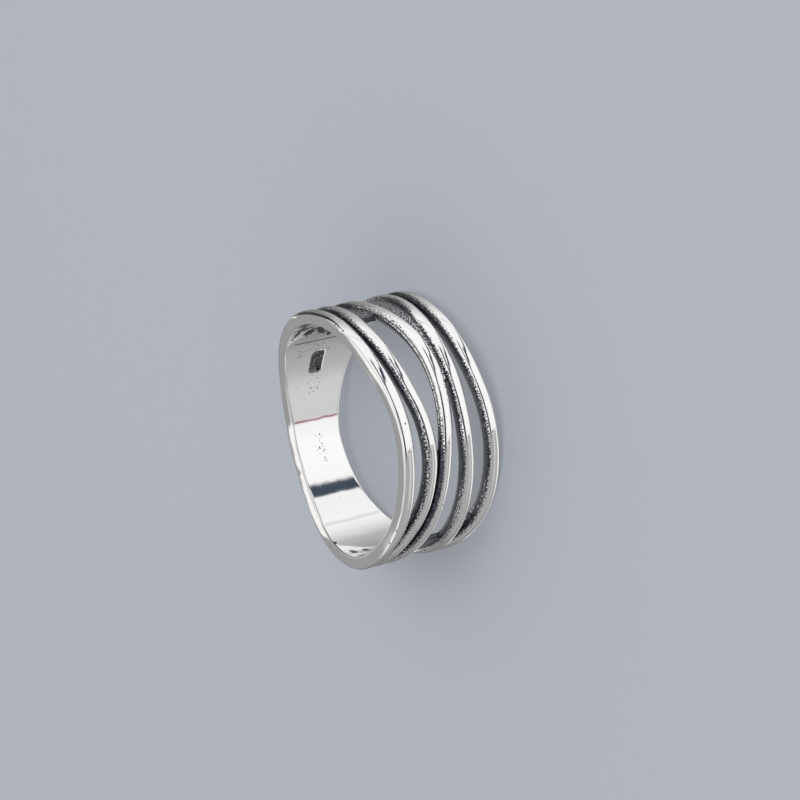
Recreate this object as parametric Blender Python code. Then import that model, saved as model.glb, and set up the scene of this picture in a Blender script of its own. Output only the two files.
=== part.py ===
"""Crossover ring: a cast silver finger ring whose plain shank opens into five crossing bars.

The ring lies on its side, as it rests on a table. Lengths are in metres and +Z is up.
Angles go round the finger hole in degrees. Zero is the front, where the bars cross, at -Y.
Positive angles turn towards +X, and the back of the shank is at 180.
Heights are measured from the ring's middle plane, towards the rim that lies on top.
"""

from collections import namedtuple
from math import cos, radians, sin

import bmesh
import bpy
from mathutils import Euler, Matrix, Vector

MM = 0.001

# Driving sizes of the casting
FINGER_RADIUS = 8.65 * MM
SHANK_WALL = 0.95 * MM
BAR_DEPTH = 1.00 * MM
SHOULDER_SHARE = 0.76
TURN_SHARE = 0.20
TURN_INSET = 0.13 * MM
RIM_DROP = 0.14 * MM
RIM_INSET = 0.10 * MM
INNER_BEVEL = 0.12 * MM
CONTACT_GAP = 0.12 * MM

# The small step that parts the first bar's crest from the upper rim where the bar begins
STEP_DROP = 0.34 * MM
STEP_INSET = 0.22 * MM
STEP_TOP_DEG = 106.0
STEP_BOTTOM_DEG = 58.0
STEP_RAMP = 1.6

# The groups of sections along the ring: the bars need shorter steps than the plain back
FRONT_HALF_DEG = 108
FRONT_STEP_DEG = 3
BACK_STEP_DEG = 6

# The blank punched panel inside the shank
PANEL_ANGLE = 136.0
PANEL_HEIGHT = 0.10 * MM
PANEL_LENGTH = 1.90 * MM
PANEL_WIDTH = 1.10 * MM
PANEL_DEPTH = 0.14 * MM
PANEL_CORNER = 0.30 * MM
PANEL_CORNER_SEGMENTS = 3
PANEL_CUTTER_REACH = 1.0 * MM

# The lean of the finger axis when the wavy lower rim stands on its three low points
LEAN_ABOUT_X_DEG = -5.91
LEAN_ABOUT_Y_DEG = -3.27

# Neighbouring faces that meet at more than this angle keep a crisp edge
CRISP_EDGE_DEG = 35.0

# Points that one bar gives to a section's outline
POINTS_OUTSIDE_PER_BAR = 7
POINTS_INSIDE_PER_BAR = 2

Knot = namedtuple("Knot", "angle height_mm")
Bar = namedtuple("Bar", "name width_mm inner_inset_mm knots")
Groove = namedtuple("Groove", "name web_depth_mm fade_top slot_top slot_bottom fade_bottom")

# The rims: height of the upper and of the lower edge of the ring. The upper one is level across the back
UPPER_RIM = (
    Knot(-174, 2.00), Knot(-168, 2.00), Knot(-150, 2.30), Knot(-120, 3.15), Knot(-90, 3.90), Knot(-75, 4.08),
    Knot(-45, 3.90), Knot(-15, 3.80), Knot(0, 3.80), Knot(15, 3.98), Knot(30, 4.27), Knot(45, 4.40),
    Knot(60, 4.38), Knot(90, 4.15), Knot(120, 3.40), Knot(150, 2.40), Knot(168, 2.00), Knot(174, 2.00),
)
LOWER_RIM = (
    Knot(-174, -2.05), Knot(-150, -2.25), Knot(-120, -2.95), Knot(-90, -3.40), Knot(-75, -3.68), Knot(-60, -3.98),
    Knot(-45, -4.20), Knot(-20, -4.27), Knot(0, -4.17), Knot(15, -3.98), Knot(30, -3.90), Knot(45, -3.92),
    Knot(60, -4.00), Knot(75, -4.20), Knot(90, -4.40), Knot(105, -4.20), Knot(120, -3.70), Knot(150, -2.70),
    Knot(174, -2.05),
)

# The five bars from the upper rim to the lower one: width, and height of the middle of each
BARS = (
    Bar("edge_bar_upper", 1.00, 0.12, (
        Knot(-180, 1.60), Knot(-120, 2.60), Knot(-90, 3.50), Knot(-75, 3.60), Knot(-60, 3.55), Knot(-45, 3.45),
        Knot(-15, 3.33), Knot(0, 3.30), Knot(15, 3.48), Knot(30, 3.79), Knot(45, 3.92), Knot(60, 3.89),
        Knot(90, 3.69), Knot(120, 2.90),
    )),
    Bar("swept_bar", 1.10, 0.18, (
        Knot(-180, 0.80), Knot(-120, 1.70), Knot(-90, 2.70), Knot(-75, 2.95), Knot(-60, 2.55), Knot(-45, 1.96),
        Knot(-30, 1.58), Knot(-15, 1.43), Knot(0, 1.61), Knot(15, 2.08), Knot(30, 2.43), Knot(45, 2.62),
        Knot(60, 2.59), Knot(75, 2.43), Knot(90, 2.15), Knot(120, 1.40),
    )),
    Bar("crossing_bar", 1.05, 0.28, (
        Knot(-180, 0.00), Knot(-120, 0.60), Knot(-90, 1.47), Knot(-60, 0.94), Knot(-30, 0.42), Knot(-15, 0.12),
        Knot(0, -0.25), Knot(15, -0.50), Knot(30, -0.55), Knot(45, -0.35), Knot(60, 0.02), Knot(75, 0.29),
        Knot(90, 0.35), Knot(120, 0.00),
    )),
    Bar("straight_bar", 1.03, 0.15, (
        Knot(-180, -0.80), Knot(-120, -1.50), Knot(-90, -2.06), Knot(-60, -1.83), Knot(-30, -1.72),
        Knot(0, -1.72), Knot(15, -1.82), Knot(30, -1.90), Knot(45, -2.03), Knot(60, -2.24), Knot(75, -2.45),
        Knot(90, -2.64), Knot(120, -2.10),
    )),
    Bar("edge_bar_lower", 0.98, 0.12, (
        Knot(-180, -1.60), Knot(-120, -2.40), Knot(-90, -2.95), Knot(-75, -3.25), Knot(-60, -3.60),
        Knot(-45, -3.83), Knot(-30, -3.89), Knot(-15, -3.88), Knot(0, -3.77), Knot(15, -3.57), Knot(30, -3.46),
        Knot(45, -3.46), Knot(60, -3.52), Knot(75, -3.70), Knot(90, -3.95), Knot(120, -3.10),
    )),
)

# The grooves between the bars: depth down to the web that joins them above the slot, where the groove
# fades out into the shank at each end, and where it is cut right through
GROOVES = (
    Groove("upper_pair", 0.50, 111, 69, -51, -96),
    Groove("leaf_opening", 0.38, 111, 63, -15, -105),
    Groove("crossing_pair", 0.30, 111, 15, -72, -108),
    Groove("lower_pair", 0.50, 111, 66, -57, -105),
)
FULL_GROOVE_DEPTH = 0.50 * MM
FADE_LENGTH_DEG = 22.0
DEEPEN_LENGTH_DEG = 25.0


def remove_all_objects():
    for obj in list(bpy.data.objects):
        bpy.data.objects.remove(obj, do_unlink=True)


def smooth_step(value):
    """0 below 0, 1 above 1, and an even turn between."""
    t = min(1.0, max(0.0, value))
    return t * t * (3.0 - 2.0 * t)


def height_at(knots, angle):
    """Height in metres on the closed smooth curve through the knots."""
    turn = 360.0
    first = knots[0].angle
    here = (angle - first) % turn + first
    count = len(knots)
    index = max(i for i in range(count) if knots[i].angle <= here)

    def knot(step):
        i = index + step
        return knots[i % count].angle + turn * (i // count), knots[i % count].height_mm

    (a0, h0), (a1, h1), (a2, h2), (a3, h3) = (knot(step) for step in (-1, 0, 1, 2))
    span = a2 - a1
    slope_in = (h2 - h0) / (a2 - a0) * span
    slope_out = (h3 - h1) / (a3 - a1) * span
    t = (here - a1) / span
    blend = (2 * t**3 - 3 * t**2 + 1) * h1 + (t**3 - 2 * t**2 + t) * slope_in
    blend += (3 * t**2 - 2 * t**3) * h2 + (t**3 - t**2) * slope_out
    return blend * MM


def section_angles():
    """The angles of the sections, all round the ring from the front's lower end."""
    front = list(range(-FRONT_HALF_DEG, FRONT_HALF_DEG, FRONT_STEP_DEG))
    back = list(range(FRONT_HALF_DEG, 360 - FRONT_HALF_DEG, BACK_STEP_DEG))
    return front + back


def signed_angle(angle):
    """The same direction, from -180 up to 180."""
    return (angle + 180.0) % 360.0 - 180.0


def groove_depth(groove, angle):
    """Depth of a groove under the crests: nothing in the shank, full where it is about to be a slot."""
    here = signed_angle(angle)
    fade = smooth_step(min(groove.fade_top - here, here - groove.fade_bottom) / FADE_LENGTH_DEG)
    above_slot = smooth_step((here - groove.slot_top + DEEPEN_LENGTH_DEG) / DEEPEN_LENGTH_DEG)
    return fade * (FULL_GROOVE_DEPTH + (groove.web_depth_mm * MM - FULL_GROOVE_DEPTH) * above_slot)


def step_share(angle):
    """1 in the middle of the small step beside the upper rim, 0 outside it."""
    here = signed_angle(angle)
    middle = (STEP_TOP_DEG + STEP_BOTTOM_DEG) / 2
    half = (STEP_TOP_DEG - STEP_BOTTOM_DEG) / 2
    return smooth_step(STEP_RAMP * (1.0 - abs(here - middle) / half))


def bar_edges(angle):
    """Upper and lower edge of each bar. Neighbours that would meet share a narrow contact gap."""
    uppers = [height_at(UPPER_RIM, angle)]
    lowers = []
    for above, below in zip(BARS, BARS[1:]):
        centre_above = height_at(above.knots, angle)
        centre_below = height_at(below.knots, angle)
        middle = (centre_above + centre_below) / 2
        free = centre_above - centre_below - (above.width_mm + below.width_mm) / 2 * MM
        half_gap = max(free, CONTACT_GAP) / 2
        lowers.append(middle + half_gap)
        uppers.append(middle - half_gap)
    lowers.append(height_at(LOWER_RIM, angle))
    return list(zip(uppers, lowers))


def section_outline(angle):
    """Closed outline of one section as (radius, height): the outside from top to bottom, then the inside."""
    depths = [groove_depth(groove, angle) for groove in GROOVES]
    rise = max(depths) / FULL_GROOVE_DEPTH
    outside = FINGER_RADIUS + SHANK_WALL + (BAR_DEPTH - SHANK_WALL) * rise
    edges = bar_edges(angle)
    last = len(edges) - 1
    step = step_share(angle)
    upper_rim = rim_points(outside, edges[0][0], -1, step)
    lower_rim = rim_points(outside, edges[last][1], 1, 0.0)
    outer = []
    inner = []
    for index, (upper, lower) in enumerate(edges):
        above = upper_rim if index == 0 else flank_points(outside, upper, -1, depths[index - 1])
        below = lower_rim if index == last else flank_points(outside, lower, 1, depths[index])
        outer += above + [(outside, (upper + lower) / 2)] + below[::-1]
        inset = BARS[index].inner_inset_mm * MM
        inner = [(FINGER_RADIUS, lower + inset), (FINGER_RADIUS, upper - inset)] + inner
    return outer + inner


def flank_points(outside, edge, inward, depth):
    """Foot, shoulder and turn of a flank beside a groove. inward is the sign of the way to the bar's middle."""
    foot = outside - depth
    shoulder = outside - SHOULDER_SHARE * depth
    turn = outside - TURN_SHARE * depth
    return [(foot, edge), (shoulder, edge), (turn, edge + inward * TURN_INSET)]


def rim_points(outside, edge, inward, step):
    """The same three points on a rim of the ring, whose side face is flat down to the inner bevel."""
    foot = FINGER_RADIUS + INNER_BEVEL
    shoulder = outside - RIM_DROP - (STEP_DROP - RIM_DROP) * step
    inset = RIM_INSET + (STEP_INSET - RIM_INSET) * step
    turn = outside - TURN_SHARE * RIM_DROP * step
    return [(foot, edge), (shoulder, edge), (turn, edge + inward * inset)]


def place(radius, angle, height):
    """A point of the ring, before it leans: the front is at -Y and positive angles turn to +X."""
    turn = radians(angle)
    return Vector((radius * sin(turn), -radius * cos(turn), height))


def casting_mesh(name):
    """The shank and its five bars as one closed body, with the slots between the bars cut through."""
    angles = section_angles()
    work = bmesh.new()
    grid = []
    for angle in angles:
        grid.append([work.verts.new(place(radius, angle, height)) for radius, height in section_outline(angle)])
    columns = len(grid[0])
    sections = len(grid)
    outside_count = POINTS_OUTSIDE_PER_BAR * len(BARS)
    open_faces = set()
    for index, groove in enumerate(GROOVES):
        floor = POINTS_OUTSIDE_PER_BAR * (index + 1) - 1
        ceiling = outside_count + POINTS_INSIDE_PER_BAR * (len(BARS) - 1 - index) - 1
        first = angles.index(groove.slot_bottom)
        final = angles.index(groove.slot_top)
        for step in range(first, final):
            open_faces.update({(step, floor), (step, ceiling)})
            here, ahead = grid[step], grid[step + 1]
            work.faces.new((here[floor], ahead[floor], ahead[ceiling + 1], here[ceiling + 1]))
            work.faces.new((here[ceiling], ahead[ceiling], ahead[floor + 1], here[floor + 1]))
        for end in (grid[first], grid[final]):
            work.faces.new((end[floor], end[floor + 1], end[ceiling], end[ceiling + 1]))
    for step in range(sections):
        here, ahead = grid[step], grid[(step + 1) % sections]
        for column in range(columns):
            beside = (column + 1) % columns
            if (step, column) not in open_faces:
                work.faces.new((here[column], here[beside], ahead[beside], ahead[column]))
    bmesh.ops.recalc_face_normals(work, faces=work.faces)
    mesh = bpy.data.meshes.new(name)
    work.to_mesh(mesh)
    work.free()
    return mesh


def silver():
    """Polished silver, a little warm, with the grey that its blackened grooves leave."""
    material = bpy.data.materials.new("polished_silver")
    material.use_nodes = True
    shader = material.node_tree.nodes["Principled BSDF"]
    shader.inputs["Base Color"].default_value = (0.79, 0.79, 0.80, 1.0)
    shader.inputs["Metallic"].default_value = 1.0
    shader.inputs["Roughness"].default_value = 0.16
    return material


def panel_cutter():
    """A small rounded block that reaches from inside the finger hole into the shank's wall."""
    work = bmesh.new()
    bmesh.ops.create_cube(work, size=1.0)
    size = Vector((PANEL_LENGTH, PANEL_CUTTER_REACH + PANEL_DEPTH, PANEL_WIDTH))
    bmesh.ops.scale(work, vec=size, verts=work.verts)
    long_edges = [edge for edge in work.edges if abs(edge.verts[0].co.y - edge.verts[1].co.y) > PANEL_DEPTH]
    bmesh.ops.bevel(work, geom=long_edges, offset=PANEL_CORNER, segments=PANEL_CORNER_SEGMENTS, profile=0.5,
                    affect="EDGES")
    middle = -FINGER_RADIUS + (PANEL_CUTTER_REACH - PANEL_DEPTH) / 2
    bmesh.ops.translate(work, vec=(0.0, middle, PANEL_HEIGHT), verts=work.verts)
    bmesh.ops.rotate(work, cent=(0.0, 0.0, 0.0), matrix=Matrix.Rotation(radians(PANEL_ANGLE), 3, "Z"),
                     verts=work.verts)
    mesh = bpy.data.meshes.new("panel_cutter")
    work.to_mesh(mesh)
    work.free()
    cutter = bpy.data.objects.new("panel_cutter", mesh)
    bpy.context.scene.collection.objects.link(cutter)
    cutter.hide_render = True
    cutter.display_type = "WIRE"
    return cutter


def lean_and_seat(meshes):
    """Leans the ring and its cutter as the ring rests, and stands it on the ground over its origin."""
    lean = Euler((radians(LEAN_ABOUT_X_DEG), radians(LEAN_ABOUT_Y_DEG), 0.0)).to_matrix().to_4x4()
    for mesh in meshes:
        mesh.transform(lean)
    points = [vertex.co for vertex in meshes[0].vertices]
    low = Vector([min(point[axis] for point in points) for axis in range(3)])
    high = Vector([max(point[axis] for point in points) for axis in range(3)])
    middle = (low + high) / 2
    for mesh in meshes:
        mesh.transform(Matrix.Translation((-middle.x, -middle.y, -low.z)))


def build_ring():
    mesh = casting_mesh("crossover_ring")
    mesh.materials.append(silver())
    ring = bpy.data.objects.new("crossover_ring", mesh)
    bpy.context.scene.collection.objects.link(ring)
    cutter = panel_cutter()
    lean_and_seat([mesh, cutter.data])
    punch = ring.modifiers.new("punched_panel", "BOOLEAN")
    punch.operation = "DIFFERENCE"
    punch.solver = "EXACT"
    punch.object = cutter
    mesh.shade_smooth()
    mesh.set_sharp_from_angle(angle=radians(CRISP_EDGE_DEG))


remove_all_objects()
build_ring()
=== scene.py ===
"""Crossover ring: a cast silver finger ring whose plain shank opens into five crossing bars.

The ring lies on its side as it rests by itself. Angles go round the finger hole in degrees: zero is
the front, where the bars cross, at -Y, and positive angles turn towards +X.
"""

from collections import namedtuple
from math import atan2, cos, degrees, pi, radians, sin

import bpy
from mathutils import Euler, Matrix, Vector


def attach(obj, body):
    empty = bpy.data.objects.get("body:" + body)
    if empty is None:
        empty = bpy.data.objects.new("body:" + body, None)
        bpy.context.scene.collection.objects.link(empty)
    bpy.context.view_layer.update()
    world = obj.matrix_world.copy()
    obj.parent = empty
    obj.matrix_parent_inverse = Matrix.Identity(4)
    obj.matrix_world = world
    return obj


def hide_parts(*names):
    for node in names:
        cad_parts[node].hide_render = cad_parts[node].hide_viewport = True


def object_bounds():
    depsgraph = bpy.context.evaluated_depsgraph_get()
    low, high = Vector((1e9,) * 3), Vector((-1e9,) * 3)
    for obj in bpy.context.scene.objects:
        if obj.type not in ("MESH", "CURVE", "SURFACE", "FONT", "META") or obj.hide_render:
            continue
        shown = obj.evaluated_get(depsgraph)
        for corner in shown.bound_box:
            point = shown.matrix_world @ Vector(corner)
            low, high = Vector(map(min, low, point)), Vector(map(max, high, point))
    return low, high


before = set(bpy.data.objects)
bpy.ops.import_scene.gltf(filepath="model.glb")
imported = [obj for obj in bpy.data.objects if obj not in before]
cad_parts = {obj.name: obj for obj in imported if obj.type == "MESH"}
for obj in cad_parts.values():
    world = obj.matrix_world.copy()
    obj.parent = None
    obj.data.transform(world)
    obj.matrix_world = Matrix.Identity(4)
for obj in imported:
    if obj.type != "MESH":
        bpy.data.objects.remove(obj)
cad_low, cad_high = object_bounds()
MM = 0.001


# The casting. The real ring is one piece of sterling silver, cast with its shank, bars and webs in one, then
# blackened in the grooves and polished back on the crests. Its outline, section by section, is worked out
# from the rims, the middle lines of the bars and the grooves, and it is modelled from a torus.
FINGER_RADIUS = 8.65 * MM
SHANK_WALL = 0.95 * MM
BAR_DEPTH = 1.00 * MM
SHOULDER_SHARE = 0.76
CREST_POWER = 2.3
RIM_POWER = 2.7
RIM_DROP = 0.14 * MM
SIDE_CROWN = 0.012 * MM
PLAIN_CROWN_SHARE = 0.25
SIDE_LIFT = 0.050 * MM
INNER_BEVEL = 0.12 * MM
INNER_SUPPORT = 0.09 * MM
INNER_INSET_SHARE = 0.3
CONTACT_GAP = 0.12 * MM
SLOT_EDGE_BEVEL = 0.07 * MM

STEP_DROP = 0.26 * MM
STEP_CREASE = 0.09 * MM
STEP_INSET = 0.11 * MM
STEP_END_INSET = 0.24 * MM
STEP_FOOT_SHARE = 0.6
STEP_TOP_DEG = 99.0
STEP_BOTTOM_DEG = 52.0
STEP_RAMP = 1.8
STEP_SLIDE_DEG = 26.0
STEP_SLID_DROP = 0.08 * MM
STEP_SLID_INSET = 0.15 * MM

FULL_GROOVE_DEPTH = 0.50 * MM
FADE_LENGTH_DEG = 22.0
DEEPEN_LENGTH_DEG = 25.0

SECTIONS = 240
CREST_STEPS = 9
FLANK_STEPS = 2
SIDE_STEPS = 4
BEVEL_STEPS = 4

LEAN_ABOUT_X_DEG = -5.91
LEAN_ABOUT_Y_DEG = -3.27
SMOOTH_UNDER_DEG = 38.0

Knot = namedtuple("Knot", "angle value")
Bar = namedtuple("Bar", "name width_mm inner_inset_mm knots")
Groove = namedtuple(
    "Groove", "name web_depth_mm top_black fade_top slot_top slot_bottom fade_bottom bottom_black",
)
Black = namedtuple("Black", "angle solid fringe")
Station = namedtuple("Station", "radius height stain column")

UPPER_RIM = (
    Knot(-174, 2.00), Knot(-168, 2.00), Knot(-150, 2.30), Knot(-120, 3.15), Knot(-90, 3.90), Knot(-75, 4.08),
    Knot(-45, 3.90), Knot(-15, 3.80), Knot(0, 3.80), Knot(15, 3.98), Knot(30, 4.27), Knot(45, 4.40),
    Knot(60, 4.38), Knot(90, 4.15), Knot(120, 3.40), Knot(150, 2.40), Knot(168, 2.00), Knot(174, 2.00),
)
LOWER_RIM = (
    Knot(-174, -2.05), Knot(-150, -2.25), Knot(-120, -2.95), Knot(-90, -3.40), Knot(-75, -3.68),
    Knot(-60, -3.98), Knot(-45, -4.20), Knot(-20, -4.27), Knot(0, -4.17), Knot(15, -3.98), Knot(30, -3.90),
    Knot(45, -3.92), Knot(60, -4.00), Knot(75, -4.20), Knot(90, -4.40), Knot(105, -4.20), Knot(120, -3.70),
    Knot(150, -2.70), Knot(174, -2.05),
)
BARS = (
    Bar("edge_bar_upper", 1.00, 0.12, (
        Knot(-180, 1.60), Knot(-120, 2.60), Knot(-90, 3.50), Knot(-75, 3.60), Knot(-60, 3.55),
        Knot(-45, 3.45), Knot(-15, 3.33), Knot(0, 3.30), Knot(15, 3.48), Knot(30, 3.79), Knot(45, 3.92),
        Knot(60, 3.89), Knot(90, 3.69), Knot(120, 2.90),
    )),
    Bar("swept_bar", 1.10, 0.18, (
        Knot(-180, 0.80), Knot(-120, 1.70), Knot(-90, 2.70), Knot(-75, 2.95), Knot(-60, 2.55),
        Knot(-45, 1.96), Knot(-30, 1.58), Knot(-15, 1.43), Knot(0, 1.61), Knot(15, 2.08), Knot(30, 2.43),
        Knot(45, 2.62), Knot(60, 2.59), Knot(75, 2.43), Knot(90, 2.15), Knot(120, 1.40),
    )),
    Bar("crossing_bar", 1.05, 0.28, (
        Knot(-180, 0.00), Knot(-120, 0.60), Knot(-90, 1.47), Knot(-60, 0.94), Knot(-30, 0.42),
        Knot(-15, 0.12), Knot(0, -0.25), Knot(15, -0.50), Knot(30, -0.55), Knot(45, -0.35), Knot(60, 0.02),
        Knot(75, 0.29), Knot(90, 0.35), Knot(120, 0.00),
    )),
    Bar("straight_bar", 1.03, 0.15, (
        Knot(-180, -0.80), Knot(-120, -1.50), Knot(-90, -2.06), Knot(-60, -1.83), Knot(-30, -1.72),
        Knot(0, -1.72), Knot(15, -1.82), Knot(30, -1.90), Knot(45, -2.03), Knot(60, -2.24),
        Knot(75, -2.45), Knot(90, -2.64), Knot(120, -2.10),
    )),
    Bar("edge_bar_lower", 0.98, 0.12, (
        Knot(-180, -1.60), Knot(-120, -2.40), Knot(-90, -2.95), Knot(-75, -3.25), Knot(-60, -3.60),
        Knot(-45, -3.83), Knot(-30, -3.89), Knot(-15, -3.88), Knot(0, -3.77), Knot(15, -3.57),
        Knot(30, -3.46), Knot(45, -3.46), Knot(60, -3.52), Knot(75, -3.70), Knot(90, -3.95),
        Knot(120, -3.10),
    )),
)
GROOVES = (
    Groove("upper_pair", 0.50, 0.95, 111, 69, -51, -96, 1.10),
    Groove("leaf_opening", 0.38, 0.74, 111, 63, -15, -105, 1.10),
    Groove("crossing_pair", 0.30, 0.72, 111, 15, -72, -108, 0.80),
    Groove("lower_pair", 0.50, 0.95, 111, 66, -57, -105, 1.00),
)

# How far the black reaches down over each bar from its upper edge, as shares of the bar's width: solid to
# the first share, then broken up as far as the second. Below zero it stops on the flank.
BLACKENED = {
    "swept_bar": (
        Black(-100, -0.20, 0.06), Black(-75, -0.15, 0.05), Black(-60, -0.10, 0.07), Black(-50, -0.04, 0.14),
        Black(-40, 0.02, 0.19), Black(-30, 0.05, 0.21), Black(-20, 0.00, 0.28), Black(-10, 0.00, 0.28),
        Black(0, 0.06, 0.17), Black(10, 0.08, 0.17), Black(20, 0.10, 0.22), Black(30, 0.09, 0.20),
        Black(40, 0.07, 0.22), Black(50, -0.02, 0.20), Black(60, -0.04, 0.28), Black(70, 0.05, 0.32),
        Black(85, 0.04, 0.30), Black(105, 0.10, 0.30),
    ),
    "crossing_bar": (
        Black(-100, -0.10, 0.06), Black(-70, -0.02, 0.12), Black(-60, 0.02, 0.22), Black(-50, 0.12, 0.22),
        Black(-40, 0.20, 0.31), Black(-30, 0.21, 0.31), Black(-20, 0.17, 0.30), Black(-10, 0.04, 0.14),
        Black(0, -0.20, 0.08), Black(10, -0.30, 0.06), Black(25, -0.42, 0.02), Black(40, -0.35, 0.10),
        Black(50, -0.40, 0.26), Black(60, -0.35, 0.30), Black(70, -0.30, 0.24), Black(80, 0.04, 0.16),
        Black(100, 0.04, 0.16),
    ),
    "straight_bar": (
        Black(-100, -0.30, 0.00), Black(-80, -0.28, 0.05), Black(-60, -0.24, 0.15), Black(-50, -0.22, 0.15),
        Black(-40, -0.14, 0.15), Black(-30, 0.02, 0.15), Black(-20, 0.07, 0.19), Black(-10, 0.04, 0.15),
        Black(0, 0.05, 0.13), Black(10, 0.04, 0.13), Black(25, -0.04, 0.10), Black(40, -0.06, 0.10),
        Black(50, -0.24, 0.10), Black(56, 0.00, 0.30), Black(62, 0.10, 0.40), Black(70, 0.08, 0.36),
        Black(80, -0.10, 0.16), Black(105, -0.25, 0.05),
    ),
    "edge_bar_lower": (
        Black(-100, -0.30, 0.00), Black(-80, -0.28, 0.04), Black(-60, -0.12, 0.15), Black(-50, -0.12, 0.15),
        Black(-40, -0.10, 0.16), Black(-30, 0.05, 0.15), Black(-20, 0.07, 0.19), Black(-10, 0.03, 0.22),
        Black(0, 0.02, 0.15), Black(10, 0.02, 0.18), Black(20, 0.04, 0.13), Black(30, 0.04, 0.15),
        Black(40, 0.03, 0.22), Black(50, 0.08, 0.32), Black(60, 0.13, 0.38), Black(70, 0.15, 0.46),
        Black(80, 0.22, 0.50), Black(100, 0.30, 0.50),
    ),
}
# The same from each bar's lower edge. The bars that aren't named are all alike.
FAR_BLACKENED = {
    "edge_bar_upper": (
        Black(-100, 0.10, 0.40), Black(-70, 0.18, 0.48), Black(-60, 0.24, 0.46), Black(-50, 0.14, 0.32),
        Black(-40, 0.00, 0.16), Black(-25, -0.10, 0.05), Black(15, -0.10, 0.05), Black(30, 0.04, 0.20),
        Black(42, 0.10, 0.26), Black(55, 0.08, 0.26), Black(70, 0.00, 0.16), Black(100, 0.00, 0.12),
    ),
    "crossing_bar": (
        Black(-100, -0.05, 0.06), Black(-10, -0.05, 0.06), Black(0, 0.02, 0.18), Black(12, 0.04, 0.24),
        Black(25, -0.05, 0.10), Black(60, -0.05, 0.06), Black(100, -0.05, 0.06),
    ),
}
FAR_BLACK = (Black(-100, -0.05, 0.08), Black(-30, -0.05, 0.12), Black(100, -0.05, 0.08))
FOOT_SHARE = -0.30
SOLID_BLACK = 1.3
FRINGE_EXTRA = 0.07
CREASE_BLACK = (1.0, 1.5, 1.5, 1.5, 1.3, 0.7)
SLOT_END_MARGIN_DEG = 2.0


def smooth_step(value):
    t = min(1.0, max(0.0, value))
    return t * t * (3.0 - 2.0 * t)


def curve_at(knots, angle):
    """The value on the closed smooth curve through the knots."""
    turn = 360.0
    first = knots[0].angle
    here = (angle - first) % turn + first
    count = len(knots)
    index = max(i for i in range(count) if knots[i].angle <= here)

    def knot(step):
        i = index + step
        return knots[i % count].angle + turn * (i // count), knots[i % count].value

    (a0, h0), (a1, h1), (a2, h2), (a3, h3) = (knot(step) for step in (-1, 0, 1, 2))
    span = a2 - a1
    slope_in = (h2 - h0) / (a2 - a0) * span
    slope_out = (h3 - h1) / (a3 - a1) * span
    t = (here - a1) / span
    blend = (2 * t**3 - 3 * t**2 + 1) * h1 + (t**3 - 2 * t**2 + t) * slope_in
    return blend + (3 * t**2 - 2 * t**3) * h2 + (t**3 - t**2) * slope_out


def signed_angle(angle):
    return (angle + 180.0) % 360.0 - 180.0


def groove_fade(groove, angle):
    """0 in the plain shank and 1 where the groove has its full depth."""
    here = signed_angle(angle)
    return smooth_step(min(groove.fade_top - here, here - groove.fade_bottom) / FADE_LENGTH_DEG)


def groove_depth(groove, angle):
    towards_slot = signed_angle(angle) - groove.slot_top + DEEPEN_LENGTH_DEG
    above_slot = smooth_step(towards_slot / DEEPEN_LENGTH_DEG)
    depth = FULL_GROOVE_DEPTH + (groove.web_depth_mm * MM - FULL_GROOVE_DEPTH) * above_slot
    return groove_fade(groove, angle) * depth


def step_share(angle):
    """1 in the middle of the small step beside the upper rim, 0 outside it."""
    middle = (STEP_TOP_DEG + STEP_BOTTOM_DEG) / 2
    half = (STEP_TOP_DEG - STEP_BOTTOM_DEG) / 2
    return smooth_step(STEP_RAMP * (1.0 - abs(signed_angle(angle) - middle) / half))


def bar_edges(angle):
    """Upper and lower edge of each bar. Neighbours that would meet share a narrow contact gap."""
    uppers = [curve_at(UPPER_RIM, angle) * MM]
    lowers = []
    for above, below in zip(BARS, BARS[1:]):
        centre_above = curve_at(above.knots, angle) * MM
        centre_below = curve_at(below.knots, angle) * MM
        middle = (centre_above + centre_below) / 2
        free = centre_above - centre_below - (above.width_mm + below.width_mm) / 2 * MM
        half_gap = max(free, CONTACT_GAP) / 2
        lowers.append(middle + half_gap)
        uppers.append(middle - half_gap)
    lowers.append(curve_at(LOWER_RIM, angle) * MM)
    return list(zip(uppers, lowers))


def rounded_rise(low_radius, low_height, high_radius, high_height, power, steps):
    """Points on a quarter of a superellipse that rises from a flank to the crest, without its last point."""
    points = []
    for step in range(steps):
        turn = step / steps * pi / 2
        rise = sin(turn) ** (2 / power)
        across = cos(turn) ** (2 / power)
        radius = low_radius + (high_radius - low_radius) * rise
        points.append((radius, high_height + (low_height - high_height) * across))
    return points


def black_reach(rows, angle):
    """The solid and the broken reach of the black at that angle."""
    solid = curve_at([Knot(row.angle, row.solid) for row in rows], angle)
    fringe = curve_at([Knot(row.angle, row.fringe) for row in rows], angle)
    return solid, max(fringe, solid) + FRINGE_EXTRA


def blackness(reach, crossed):
    """Above one where the black is solid, falling to zero where the crest is polished clean."""
    solid, fringe = reach
    return min(SOLID_BLACK, max(0.0, (fringe - crossed) / (fringe - solid)))


def flank_points(outside, edge, middle, depth, fade, reach, foot):
    """From a groove's foot up its flank and over to the crest, with the black left on each point."""
    shoulder = outside - SHOULDER_SHARE * depth
    points = []
    for step in range(FLANK_STEPS):
        climbed = step / FLANK_STEPS
        radius = outside - depth + (shoulder - outside + depth) * climbed
        on_flank = blackness(reach, FOOT_SHARE * (1.0 - climbed))
        points.append((radius, edge, fade * (foot * (1.0 - climbed) + on_flank * climbed)))
    for radius, height in rounded_rise(shoulder, edge, outside, middle, CREST_POWER, CREST_STEPS):
        crossed = 0.5 * abs(height - edge) / abs(middle - edge)
        points.append((radius, height, fade * blackness(reach, crossed)))
    return points


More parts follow.
